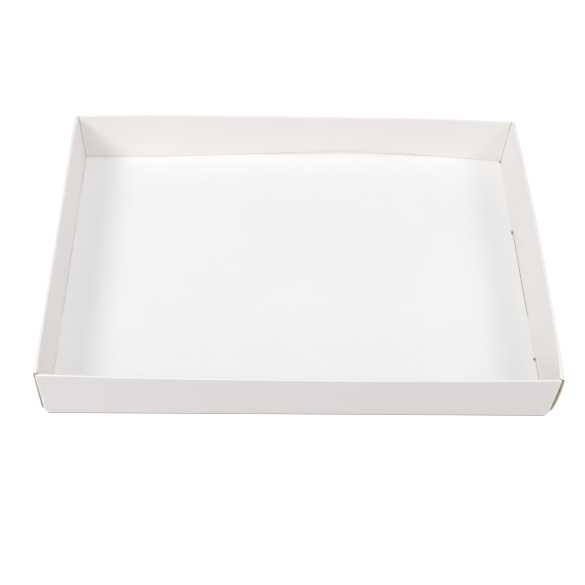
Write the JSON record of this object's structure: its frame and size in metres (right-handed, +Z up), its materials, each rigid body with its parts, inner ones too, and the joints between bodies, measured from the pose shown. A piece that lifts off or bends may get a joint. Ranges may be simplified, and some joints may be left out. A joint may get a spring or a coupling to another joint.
{
  "type": "cardboard box base",
  "caption": "Shallow open tray folded from white card: the base of a flat box, with rolled side walls tabbed into its floor and front and back walls turned over inside.",
  "frame": {"origin": "centre of the underside of the base, on the surface that the tray stands on", "axes": "+X along the long side, to the right as the tray is seen from its front; +Y to the back; +Z up, out of the open top"},
  "size_m": [0.3152, 0.224, 0.038],
  "materials": {
    "white_card": "matte"
  },
  "bodies": {
    "root": {"box_base": "white_card"}
  },
  "joints": []
}
